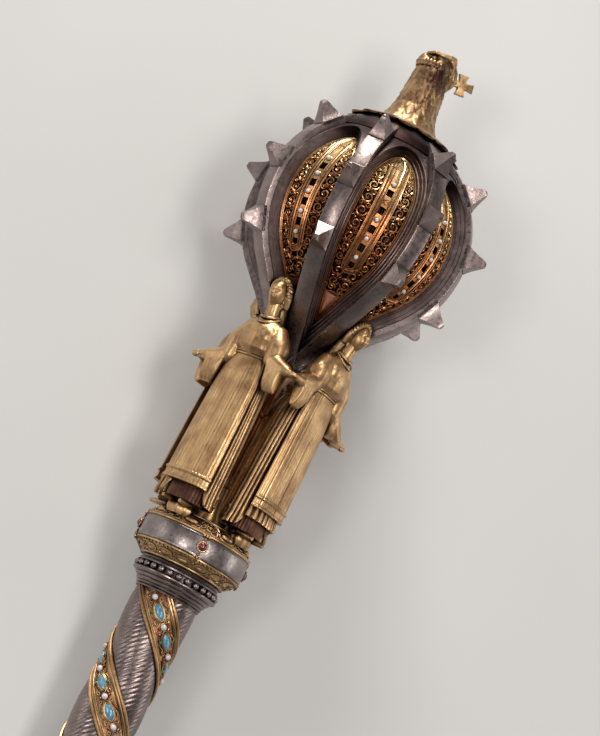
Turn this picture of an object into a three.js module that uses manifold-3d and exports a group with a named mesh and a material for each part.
// A ceremonial sceptre of the mace kind: a twisted grip, a knop, four women in long skirts standing
// round a slender stem, and a pear-shaped mace head of eight studded ribs with an eagle's neck on top.
// Millimetres. Every piece is built upright about a local Z axis whose zero is the top of the grip,
// then the whole group is laid down with its head towards +X, as such a thing lies when it is loose.

import * as THREE from 'three';
import { mergeVertices } from 'three/addons/utils/BufferGeometryUtils.js';
import Module from 'manifold-3d';

const wasm = await Module();
wasm.setup();

// ---- driving dimensions -------------------------------------------------------------------------

const GAP = 0.35; // between pieces that touch

// grip: a gold bar with two left-handed starts, each with a silver strip let into it
const GRIP_LENGTH = 150;
const GRIP_LEAD = 78;
const GRIP_PHASE = 54 * Math.PI / 180; // where the first silver strip meets the upper collar
const GRIP_FIELD_RADIUS = 11.4;
const GRIP_RIDGE_RADIUS = 12.0;
const GRIP_CORE_RADIUS = 8.5;
const GRIP_STRIP_INNER = 9.9;
const GRIP_STRIP_HALF_ANGLE = 50 * Math.PI / 180;
const GRIP_STRIP_CLEARANCE = 0.08; // radians beside the strip
const GRIP_STRIP_CROWN = 12.2;
const GRIP_STRIP_EDGE = 11.3;
const GRIP_LEVELS = 24;

// collars and pommel
const COLLAR_HEIGHT = 11;
const COLLAR_RADIUS = 16.6;
const POMMEL_RADIUS = 17.2;
const POMMEL_HEIGHT = 30;
const BUTTON_RADIUS = 5.2;
const BUTTON_HEIGHT = 6.5;

// knop
const KNOP_TOP = 30.6;
const KNOP_TOP_RADIUS = 14.6;
const KNOP_RADIUS = 20.2;
const BAND_RADIUS = 20.9;
const BAND_BOTTOM = 16.3;
const BAND_TOP = 24.7;
const GARNET_RADIUS = 1.55;
const GARNET_HEIGHT = 1.5;

// mace head: a sphere on a cone that touches it all round
const HEAD_CENTRE = 156;
const RIB_OUTER = 43.4;
const RIB_INNER = 36.6;
const RIB_WIDTH = 6.8;
const RIB_COUNT = 8;
const RIB_TOP_LATITUDE = 58 * Math.PI / 180;
const CONE_HALF_ANGLE = 43 * Math.PI / 180;
const APEX_RADIUS = 4.6; // where the cone of ribs is cut off above the stem
const STUD_LATITUDES = [41, 8, -25].map((degrees) => degrees * Math.PI / 180);
const STUD_LENGTH = 8.9;
const STUD_TIP_RADIUS = 51;
const STUD_TIP_WIDTH = 0.9;
const PANEL_OUTER = 36.2;
const PANEL_INNER = 34.9;
const PANEL_TOP_LATITUDE = 43 * Math.PI / 180;
const CAP_RADIUS = 45.1;
const CAP_WALL = 0.8;
const CAP_EDGE_LATITUDE = 52 * Math.PI / 180;

// eagle
const EAGLE_TOP = 234.5;
const NECK_BASE_RADIUS = 11.6;
const NECK_RADIUS = 7.9;
const EAGLE_BEARING = 98 * Math.PI / 180;
const CROSS_SPAN = 7.8;
const CROSS_THICKNESS = 1.6;
const CROSS_CENTRE = 12.2; // from the axis

// stem between the figures
const STEM_RADIUS = 1.7;
const STEM_FOOT_RADIUS = 4.8;
const STEM_FOOT_HEIGHT = 16;

// figures, measured from the soles up
const FIGURE_COUNT = 4;
const FIGURE_HEIGHT = 92.2;
const FIGURE_RADIUS = 17.7;
const HEM_HEIGHT = 3;
const WAIST_HEIGHT = 59;
const SHOULDER_HEIGHT = 73;
const HEAD_MIDDLE = 85.2;
const HAND_RADIUS = 31.5;

// ---- helpers ------------------------------------------------------------------------------------

function signedVolume(position, index) {
  const a = new THREE.Vector3();
  const b = new THREE.Vector3();
  const c = new THREE.Vector3();
  let volume = 0;
  for (let i = 0; i < index.length; i += 3) {
    a.fromBufferAttribute(position, index[i]);
    b.fromBufferAttribute(position, index[i + 1]);
    c.fromBufferAttribute(position, index[i + 2]);
    volume += a.dot(b.cross(c)) / 6;
  }
  return volume;
}

// a closed three.js geometry as a solid that can be joined and cut
function solid(geometry) {
  geometry.deleteAttribute('normal');
  geometry.deleteAttribute('uv');
  const merged = mergeVertices(geometry, 1e-4);
  const kept = [];
  const source = merged.index.array;
  for (let i = 0; i < source.length; i += 3) {
    const [a, b, c] = [source[i], source[i + 1], source[i + 2]];
    if (a !== b && b !== c && c !== a) kept.push(a, b, c);
  }
  if (signedVolume(merged.attributes.position, kept) < 0) kept.reverse();
  return new wasm.Manifold(new wasm.Mesh({
    numProp: 3,
    vertProperties: new Float32Array(merged.attributes.position.array),
    triVerts: new Uint32Array(kept),
  }));
}

function join(solids) {
  return solids.reduce((whole, piece) => whole.add(piece));
}

function piece(name, body, material) {
  const cut = body.getMesh();
  const geometry = new THREE.BufferGeometry();
  geometry.setAttribute('position', new THREE.BufferAttribute(new Float32Array(cut.vertProperties), 3));
  geometry.setIndex(new THREE.BufferAttribute(new Uint32Array(cut.triVerts), 1));
  geometry.computeVertexNormals();
  const mesh = new THREE.Mesh(geometry, material);
  mesh.name = name;
  return mesh;
}

// move every vertex of a geometry to where the function says
function reshape(geometry, place) {
  const position = geometry.attributes.position;
  const point = new THREE.Vector3();
  for (let i = 0; i < position.count; i += 1) {
    point.fromBufferAttribute(position, i);
    const moved = place(point);
    position.setXYZ(i, moved.x, moved.y, moved.z);
  }
  return geometry;
}

// a closed column along Z: section(t, angle, reach) gives the point, reach being 1 on the skin
function column(segments, levels, section) {
  const geometry = new THREE.CylinderGeometry(1, 1, 1, segments, levels).rotateX(Math.PI / 2);
  return reshape(geometry, (p) => section(p.z + 0.5, Math.atan2(p.y, p.x), Math.hypot(p.x, p.y)));
}

// a curved plate: place(u, v, depth) with u in -1..1 and v and depth in 0..1
function plate(cellsAcross, cellsAlong, place) {
  const geometry = new THREE.BoxGeometry(2, 1, 1, cellsAcross, cellsAlong, 1);
  return reshape(geometry, (p) => place(p.x, p.y + 0.5, p.z + 0.5));
}

// a turned body from [radius, height] pairs that start and end on the axis or close on themselves
function turned(profile, segments) {
  const points = profile.map(([radius, height]) => new THREE.Vector2(radius, height));
  return new THREE.LatheGeometry(points, segments).rotateX(Math.PI / 2);
}

function polar(radius, angle, height) {
  return new THREE.Vector3(radius * Math.cos(angle), radius * Math.sin(angle), height);
}

function ball(x, y, z, rx, ry, rz, around = 8, down = 6) {
  return new THREE.SphereGeometry(1, around, down).rotateX(Math.PI / 2).scale(rx, ry, rz).translate(x, y, z);
}

// a tapered limb from one point to another
function limb(from, to, radiusFrom, radiusTo, segments = 5) {
  const along = to.clone().sub(from);
  const geometry = new THREE.CylinderGeometry(radiusTo, radiusFrom, along.length(), segments);
  geometry.translate(0, along.length() / 2, 0);
  const turn = new THREE.Quaternion().setFromUnitVectors(new THREE.Vector3(0, 1, 0), along.normalize());
  return geometry.applyQuaternion(turn).translate(from.x, from.y, from.z);
}

// linear interpolation through [station, value] pairs
function between(stations, at) {
  let k = 0;
  while (k < stations.length - 2 && at > stations[k + 1][0]) k += 1;
  const [x0, y0] = stations[k];
  const [x1, y1] = stations[k + 1];
  return y0 + (y1 - y0) * THREE.MathUtils.clamp((at - x0) / (x1 - x0), 0, 1);
}

// ---- the pear shape of the mace head ------------------------------------------------------------

function coneApex(radius) {
  return HEAD_CENTRE - radius / Math.sin(CONE_HALF_ANGLE);
}

function onSphere(radius, latitude) {
  return [radius * Math.cos(latitude), HEAD_CENTRE + radius * Math.sin(latitude)];
}

function onCone(radius, distanceFromAxis) {
  return [distanceFromAxis, coneApex(radius) + distanceFromAxis / Math.tan(CONE_HALF_ANGLE)];
}

// the meridian of the pear of a given radius, v from 0 at the lower end to 1 at the top latitude
function meridian(radius, lowerDistance, topLatitude, v) {
  const tangent = radius * Math.cos(CONE_HALF_ANGLE);
  const straight = (tangent - lowerDistance) / Math.sin(CONE_HALF_ANGLE);
  const arc = radius * (topLatitude + CONE_HALF_ANGLE);
  const travelled = v * (straight + arc);
  if (travelled < straight) return onCone(radius, lowerDistance + travelled * Math.sin(CONE_HALF_ANGLE));
  return onSphere(radius, (travelled - straight) / radius - CONE_HALF_ANGLE);
}

// ---- materials ----------------------------------------------------------------------------------

const gold = new THREE.MeshStandardMaterial({ color: 0xc79a50, roughness: 0.35, metalness: 1 });
const paleGold = new THREE.MeshStandardMaterial({ color: 0xd8b26a, roughness: 0.4, metalness: 1 });
const silver = new THREE.MeshStandardMaterial({ color: 0x8f8688, roughness: 0.45, metalness: 1 });
const garnet = new THREE.MeshStandardMaterial({ color: 0x5a1423, roughness: 0.1, metalness: 0 });

// ---- grip, collars, pommel ----------------------------------------------------------------------

function gripTwist(height) {
  return GRIP_PHASE - 2 * Math.PI * height / GRIP_LEAD;
}

// a strip of the grip, half as wide in angle as said, running round with the twist
function gripStrip(middle, halfAngle, innerRadius, outerRadius, margin) {
  return plate(4, GRIP_LEVELS, (u, v, depth) => {
    const height = -GRIP_LENGTH * (1 - THREE.MathUtils.clamp(v, margin, 1 - margin));
    const radius = depth > 0.5 ? outerRadius(u) : innerRadius;
    return polar(radius, middle + u * halfAngle + gripTwist(height), height);
  });
}

function buildGrip() {
  const bar = [[0, -GRIP_LENGTH], [GRIP_CORE_RADIUS, -GRIP_LENGTH], [GRIP_CORE_RADIUS, 0], [0, 0]];
  const core = turned(bar, 12);
  const half = Math.PI / 2 - GRIP_STRIP_HALF_ANGLE - GRIP_STRIP_CLEARANCE;
  const raised = (u) => (Math.abs(u) > 0.9 ? GRIP_RIDGE_RADIUS : GRIP_FIELD_RADIUS);
  const sunk = GRIP_CORE_RADIUS - 2;
  const fields = [0.5, 1.5].map((k) => solid(gripStrip(k * Math.PI, half, sunk, raised, 0)));
  return piece('grip', join([solid(core), ...fields]), gold);
}

function buildGripStrip(number) {
  const crown = (u) => GRIP_STRIP_EDGE + (GRIP_STRIP_CROWN - GRIP_STRIP_EDGE) * (1 - u * u);
  const margin = GAP / GRIP_LENGTH;
  const geometry = gripStrip(number * Math.PI, GRIP_STRIP_HALF_ANGLE, GRIP_STRIP_INNER, crown, margin);
  return piece(`grip_silver_strip_${number + 1}`, solid(geometry), silver);
}

function collarProfile(foot, rise) {
  // rise is +1 for the collar above the grip and -1 for the one below it
  const heights = [[0, 0], [12.4, 0], [13.2, 2.4], [15.8, 5.2], [COLLAR_RADIUS, 6.8],
    [COLLAR_RADIUS, 9.2], [15.6, COLLAR_HEIGHT], [0, COLLAR_HEIGHT]];
  return heights.map(([radius, height]) => [radius, foot + rise * height]);
}

function buildCollar(name, foot, rise) {
  return piece(name, solid(turned(collarProfile(foot, rise), 20)), silver);
}

function buildPommel(floorCut) {
  const top = -GRIP_LENGTH - COLLAR_HEIGHT - 2 * GAP;
  const middle = top - POMMEL_HEIGHT / 2;
  const profile = [[0, top]];
  const steps = 8;
  for (let k = 0; k <= steps; k += 1) {
    const latitude = (60 - 120 * k / steps) * Math.PI / 180;
    const radius = POMMEL_RADIUS * Math.cos(latitude);
    const squash = POMMEL_HEIGHT / 2 / Math.sin(Math.PI / 3);
    profile.push([radius, middle + squash * Math.sin(latitude)]);
  }
  const bottom = top - POMMEL_HEIGHT;
  profile.push([0, bottom]);
  const button = [[0, bottom + 1], [BUTTON_RADIUS * 0.7, bottom + 1],
    [BUTTON_RADIUS, bottom - BUTTON_HEIGHT * 0.45], [BUTTON_RADIUS * 0.6, bottom - BUTTON_HEIGHT * 0.9],
    [0, bottom - BUTTON_HEIGHT]];
  const body = join([solid(turned(profile, 16)), solid(turned(button, 8))]);
  return piece('pommel', body.subtract(floorCut), gold);
}

// ---- knop ---------------------------------------------------------------------------------------

function buildKnop() {
  const bottom = COLLAR_HEIGHT + GAP;
  const groove = BAND_RADIUS - 3.2;
  const profile = [[0, bottom], [15.6, bottom], [18.4, 13.2], [19.9, BAND_BOTTOM - GAP],
    [groove, BAND_BOTTOM - GAP], [groove, BAND_TOP + GAP], [KNOP_RADIUS, BAND_TOP + GAP],
    [19.2, 27.4], [17.4, 29.4], [KNOP_TOP_RADIUS, KNOP_TOP], [0, KNOP_TOP]];
  return piece('knop', solid(turned(profile, 20)), gold);
}

function buildKnopBand() {
  const inner = BAND_RADIUS - 3.2 + GAP;
  const middle = (BAND_BOTTOM + BAND_TOP) / 2;
  const profile = [[inner, BAND_BOTTOM], [BAND_RADIUS - 0.9, BAND_BOTTOM], [BAND_RADIUS, middle],
    [BAND_RADIUS - 0.9, BAND_TOP], [inner, BAND_TOP], [inner, BAND_BOTTOM]];
  return piece('knop_silver_band', solid(turned(profile, 20)), silver);
}

function buildGarnet(number) {
  const profile = [[0, 0], [GARNET_RADIUS, 0], [GARNET_RADIUS * 0.75, GARNET_HEIGHT * 0.65],
    [0, GARNET_HEIGHT]];
  const stone = turned(profile, 8).rotateY(Math.PI / 2);
  stone.translate(BAND_RADIUS + GAP, 0, (BAND_BOTTOM + BAND_TOP) / 2).rotateZ(number * Math.PI / 2);
  return piece(`knop_garnet_${number + 1}`, solid(stone), garnet);
}

// ---- stem and figures ---------------------------------------------------------------------------

function stemTop() {
  return onCone(RIB_OUTER, APEX_RADIUS)[1] - GAP;
}

function buildStem() {
  const foot = KNOP_TOP + GAP;
  const profile = [[0, foot], [STEM_FOOT_RADIUS, foot], [STEM_FOOT_RADIUS * 0.72, foot + 2.5],
    [STEM_FOOT_RADIUS * 0.5, foot + 7], [STEM_RADIUS, foot + STEM_FOOT_HEIGHT], [STEM_RADIUS, stemTop()],
    [0, stemTop()]];
  return piece('stem', solid(turned(profile, 12)), gold);
}

// a wide sleeve along the forearm, its lower edge hanging deepest before the wrist
function hangingSleeve(side, elbow, wrist) {
  return column(6, 2, (t, angle, reach) => {
    const middle = elbow.clone().lerp(wrist, t);
    const drop = between([[0, 3.6], [0.5, 12.5], [1, 2.2]], t);
    const rise = between([[0, 3.2], [1, 1.8]], t);
    const width = between([[0, 3.2], [0.5, 2.6], [1, 1.7]], t);
    const upward = Math.sin(angle);
    middle.x += reach * width * Math.cos(angle);
    middle.z += reach * upward * (upward > 0 ? rise : drop);
    return middle;
  });
}

// one figure faces +X with the axis of the sceptre behind her, her soles at height zero
function figureBody() {
  const leanOut = (height) => between([[0, 0], [WAIST_HEIGHT, 0.6], [SHOULDER_HEIGHT, 2.6],
    [FIGURE_HEIGHT, 6.2]], height);
  const skirtWidth = (height) => between([[HEM_HEIGHT, 10.8], [30, 10.3], [48, 9.7], [55, 8],
    [WAIST_HEIGHT + 1, 6]], height);
  const skirtDepth = (height) => between([[HEM_HEIGHT, 7.6], [30, 7.2], [48, 6.6], [55, 5.8],
    [WAIST_HEIGHT + 1, 4.9]], height);
  const skirt = column(12, 4, (t, angle, reach) => {
    const height = HEM_HEIGHT + (WAIST_HEIGHT + 1 - HEM_HEIGHT) * t;
    // squarer than an ellipse, flat in front like an apron
    const square = Math.pow(Math.abs(Math.cos(angle)) ** 3 + Math.abs(Math.sin(angle)) ** 3, -1 / 3);
    return new THREE.Vector3(leanOut(height) + reach * square * skirtDepth(height) * Math.cos(angle),
      reach * square * skirtWidth(height) * Math.sin(angle), height);
  });
  const blouse = column(9, 3, (t, angle, reach) => {
    const height = WAIST_HEIGHT - 1 + (SHOULDER_HEIGHT + 2 - WAIST_HEIGHT) * t;
    const width = between([[0, 6.2], [0.25, 7.6], [0.75, 8.6], [1, 3.2]], t);
    const depth = between([[0, 4.8], [0.4, 6.2], [0.75, 5.6], [1, 2.9]], t);
    return new THREE.Vector3(leanOut(height) + reach * depth * Math.cos(angle),
      reach * width * Math.sin(angle), height);
  });
  const nape = new THREE.Vector3(3, 0, SHOULDER_HEIGHT - 1);
  const chin = new THREE.Vector3(5.3, 0, HEAD_MIDDLE - 3);
  const neck = limb(nape, chin, 2.6, 2.5);
  const head = ball(5.8, 0, HEAD_MIDDLE, 5.1, 4.5, 6.4, 7, 5);
  const pieces = [skirt, blouse, neck, head];
  const handX = HAND_RADIUS * Math.SQRT1_2;
  for (const side of [-1, 1]) {
    const shoulder = new THREE.Vector3(2.4, side * 7.2, SHOULDER_HEIGHT - 2);
    const elbow = new THREE.Vector3(2.2, side * 9.2, WAIST_HEIGHT - 1);
    pieces.push(limb(shoulder, elbow, 3.8, 3.5));
    const cuff = new THREE.Vector3(handX - FIGURE_RADIUS - 0.4, side * (handX - 4.4), WAIST_HEIGHT - 2);
    pieces.push(hangingSleeve(side, elbow, cuff));
    pieces.push(ball(cuff.x + 1.1, side * (handX - 3), cuff.z - 0.6, 1.9, 2.6, 1.6, 5, 4));
    pieces.push(ball(4.2, side * 4, 2, 5.6, 2.4, 2.4, 6, 4));
  }
  const aboveFloor = new THREE.BoxGeometry(80, 80, 200).translate(0, 0, 100);
  return join(pieces.map(solid)).intersect(solid(aboveFloor));
}

function buildFigure(number, body) {
  const spin = new THREE.Matrix4().makeRotationZ(Math.PI / 4 + number * Math.PI / 2);
  const move = new THREE.Matrix4().makeTranslation(FIGURE_RADIUS, 0, KNOP_TOP + GAP);
  return piece(`figure_${number + 1}`, body.transform(spin.multiply(move).elements), gold);
}

// ---- mace head ----------------------------------------------------------------------------------

function ribAngle(number) {
  return (number + 0.5) * 2 * Math.PI / RIB_COUNT;
}

function ribGeometry() {
  const steps = 7;
  const outer = [];
  const inner = [];
  for (let k = 0; k <= steps; k += 1) {
    const latitude = -CONE_HALF_ANGLE + (RIB_TOP_LATITUDE + CONE_HALF_ANGLE) * k / steps;
    outer.push(onSphere(RIB_OUTER, latitude));
    inner.push(onSphere(RIB_INNER, latitude));
  }
  const foot = onCone(RIB_OUTER, APEX_RADIUS);
  const outline = [foot, ...outer, ...inner.reverse(), onCone(RIB_INNER, 0.01), [0, foot[1]]];
  const shape = new THREE.Shape(outline.map(([radius, height]) => new THREE.Vector2(radius, height)));
  const geometry = new THREE.ExtrudeGeometry(shape, { depth: RIB_WIDTH, bevelEnabled: false, steps: 1 });
  return geometry.translate(0, 0, -RIB_WIDTH / 2).rotateX(Math.PI / 2);
}

// a four-sided pyramid with a small blunt tip, standing on the rib
function studGeometry(latitude) {
  const sunk = 0.7;
  const height = STUD_TIP_RADIUS - RIB_OUTER + sunk;
  const pyramid = new THREE.CylinderGeometry(STUD_TIP_WIDTH * Math.SQRT1_2, Math.SQRT1_2, height, 4);
  pyramid.rotateY(Math.PI / 4);
  const stretched = reshape(pyramid, (p) => {
    const atBase = p.y < 0;
    return new THREE.Vector3(p.x * (atBase ? STUD_LENGTH : 1), p.y, p.z * (atBase ? RIB_WIDTH : 1));
  });
  stretched.translate(0, height / 2 + RIB_OUTER - sunk, 0).rotateZ(latitude - Math.PI / 2);
  return stretched.translate(0, HEAD_CENTRE, 0).rotateX(Math.PI / 2);
}

function buildHeadFrame(floorCut) {
  const studs = STUD_LATITUDES.map((latitude) => solid(studGeometry(latitude)));
  const rib = join([solid(ribGeometry()), ...studs]);
  const ribs = [];
  for (let number = 0; number < RIB_COUNT; number += 1) {
    const spin = new THREE.Matrix4().makeRotationZ(ribAngle(number));
    ribs.push(rib.transform(spin.elements));
  }
  const ringTop = onSphere(RIB_OUTER - 0.4, 50 * Math.PI / 180);
  const ring = turned([[ringTop[0] - 3.6, ringTop[1] - 3], ringTop.map((v, k) => v - 3 * k), ringTop,
    [ringTop[0] - 3.6, ringTop[1]], [ringTop[0] - 3.6, ringTop[1] - 3]], 16);
  return piece('mace_head_frame', join([...ribs, solid(ring)]).subtract(floorCut), silver);
}

function buildPanel(number) {
  const turn = number * 2 * Math.PI / RIB_COUNT;
  const narrowest = (RIB_WIDTH / 2 + GAP + 0.5) / Math.sin(Math.PI / RIB_COUNT);
  const geometry = plate(3, 7, (u, v, depth) => {
    const along = Math.sin(v * Math.PI / 2);
    const thickness = PANEL_OUTER - (depth > 0.5 ? 0 : PANEL_OUTER - PANEL_INNER);
    const [distance, height] = meridian(thickness, narrowest, PANEL_TOP_LATITUDE, along);
    const free = Math.max(distance * Math.sin(Math.PI / RIB_COUNT) - RIB_WIDTH / 2 - GAP, 0.4);
    const towardsTop = THREE.MathUtils.clamp((along - 0.72) / 0.28, 0, 1);
    const halfWidth = free * Math.sqrt(1.04 - towardsTop ** 2.4);
    return polar(distance, turn + Math.asin(u * halfWidth / distance), height);
  });
  return piece(`filigree_panel_${number + 1}`, solid(geometry), paleGold);
}

function buildCap() {
  const arc = (radius) => {
    const steps = 4;
    const points = [];
    for (let k = 0; k <= steps; k += 1) {
      const latitude = Math.PI / 2 - (Math.PI / 2 - CAP_EDGE_LATITUDE) * k / steps;
      points.push(k === 0 ? [0, HEAD_CENTRE + radius] : onSphere(radius, latitude));
    }
    return points;
  };
  const profile = [...arc(CAP_RADIUS - CAP_WALL), ...arc(CAP_RADIUS).reverse()];
  return piece('mace_head_cap', solid(turned(profile, 16)), gold);
}

// ---- eagle's neck and head, with a cross in the beak -----------------------------------------------

function buildEagle() {
  const base = HEAD_CENTRE + CAP_RADIUS - 3;
  const height = EAGLE_TOP - base;
  const neck = column(10, 5, (t, angle, reach) => {
    const radius = between([[0, NECK_BASE_RADIUS], [0.14, 9.9], [0.3, 8.5], [0.55, NECK_RADIUS],
      [0.8, 7.6], [1, 5.2]], t);
    const forward = between([[0, 0], [0.6, 0], [1, -0.6]], t);
    return new THREE.Vector3(forward + reach * radius * 1.02 * Math.cos(angle),
      reach * radius * 0.98 * Math.sin(angle), base + t * height * 0.86);
  });
  const skull = ball(-0.6, 0, EAGLE_TOP - 6.2, 7.4, 6.3, 5.6, 8, 5);
  const brow = ball(2.4, 0, EAGLE_TOP - 2.6, 3.4, 4.6, 2.5, 6, 4);
  const beakAt = (forward, drop) => new THREE.Vector3(forward, 0, EAGLE_TOP - drop);
  const upperBeak = limb(beakAt(4, 4.8), beakAt(7.2, 7.4), 3.2, 1.8);
  const hook = limb(beakAt(6, 6.8), beakAt(7.2, 11.8), 2, 0.5);
  const dome = new THREE.SphereGeometry(CAP_RADIUS + GAP, 16, 24).rotateX(Math.PI / 2);
  dome.translate(0, 0, HEAD_CENTRE);
  const body = join([neck, skull, brow, upperBeak, hook].map(solid)).subtract(solid(dome));
  const spin = new THREE.Matrix4().makeRotationZ(EAGLE_BEARING);
  return piece('eagle', body.transform(spin.elements), gold);
}

function buildBeakCross() {
  const waist = 0.95;
  const flare = 1.55;
  const reach = CROSS_SPAN / 2;
  const points = [];
  for (let arm = 0; arm < 4; arm += 1) {
    const turn = arm * Math.PI / 2;
    for (const [x, y] of [[waist, -waist], [reach, -flare], [reach, flare]]) {
      points.push(new THREE.Vector2(x, y).rotateAround(new THREE.Vector2(0, 0), turn));
    }
  }
  const thickness = { depth: CROSS_THICKNESS, bevelEnabled: false };
  const geometry = new THREE.ExtrudeGeometry(new THREE.Shape(points), thickness);
  geometry.translate(0, 0, -CROSS_THICKNESS / 2).rotateX(Math.PI / 2).rotateY(-0.2);
  geometry.translate(CROSS_CENTRE, 0, EAGLE_TOP - 8.6).rotateZ(EAGLE_BEARING);
  return piece('beak_cross', solid(geometry), gold);
}

// ---- laying the sceptre down ----------------------------------------------------------------------

// It lies on the middle studs of the two lowest ribs and on a small flat of the pommel.
const trim = 0.35; // depth of the small flats where it rests
const lowestRib = Math.PI - ribAngle(0);
const studDrop = -STUD_TIP_RADIUS * Math.cos(STUD_LATITUDES[1]) * Math.cos(lowestRib) - trim;
const studHeight = HEAD_CENTRE + STUD_TIP_RADIUS * Math.sin(STUD_LATITUDES[1]);
const pommelHeight = -GRIP_LENGTH - COLLAR_HEIGHT - 2 * GAP - POMMEL_HEIGHT / 2;
const lyingTilt = Math.atan2(studDrop - (POMMEL_RADIUS - trim), studHeight - pommelHeight);

// the floor as a block in the upright frame, whose X points up once the sceptre lies
function floorBlock() {
  const size = 1000;
  const block = new THREE.BoxGeometry(size, size, size).translate(-size / 2, 0, 0);
  const lean = new THREE.Matrix4().makeRotationY(-lyingTilt);
  const place = new THREE.Matrix4().makeTranslation(-studDrop, 0, studHeight).multiply(lean);
  return solid(block.applyMatrix4(place));
}

const floorCut = floorBlock();
const sceptre = new THREE.Group();
sceptre.add(buildGrip());
sceptre.add(buildGripStrip(0), buildGripStrip(1));
sceptre.add(buildCollar('upper_collar', GAP, 1));
sceptre.add(buildCollar('lower_collar', -GRIP_LENGTH - GAP, -1));
sceptre.add(buildPommel(floorCut));
sceptre.add(buildKnop(), buildKnopBand());
sceptre.add(buildStem());
const woman = figureBody();
for (let number = 0; number < FIGURE_COUNT; number += 1) {
  sceptre.add(buildGarnet(number));
  sceptre.add(buildFigure(number, woman));
}
sceptre.add(buildHeadFrame(floorCut));
for (let number = 0; number < RIB_COUNT; number += 1) sceptre.add(buildPanel(number));
sceptre.add(buildCap(), buildEagle(), buildBeakCross());

// local Z goes to world +X and local X to world +Z, then the head end is lifted onto its studs
const lie = new THREE.Matrix4().makeBasis(
  new THREE.Vector3(0, 0, 1), new THREE.Vector3(0, -1, 0), new THREE.Vector3(1, 0, 0));
const lift = new THREE.Matrix4().makeRotationY(-lyingTilt);
sceptre.quaternion.setFromRotationMatrix(lift.multiply(lie));
sceptre.updateMatrixWorld(true);
const box = new THREE.Box3().setFromObject(sceptre, true);
sceptre.position.set(-(box.min.x + box.max.x) / 2, -(box.min.y + box.max.y) / 2, -box.min.z);

export default sceptre;
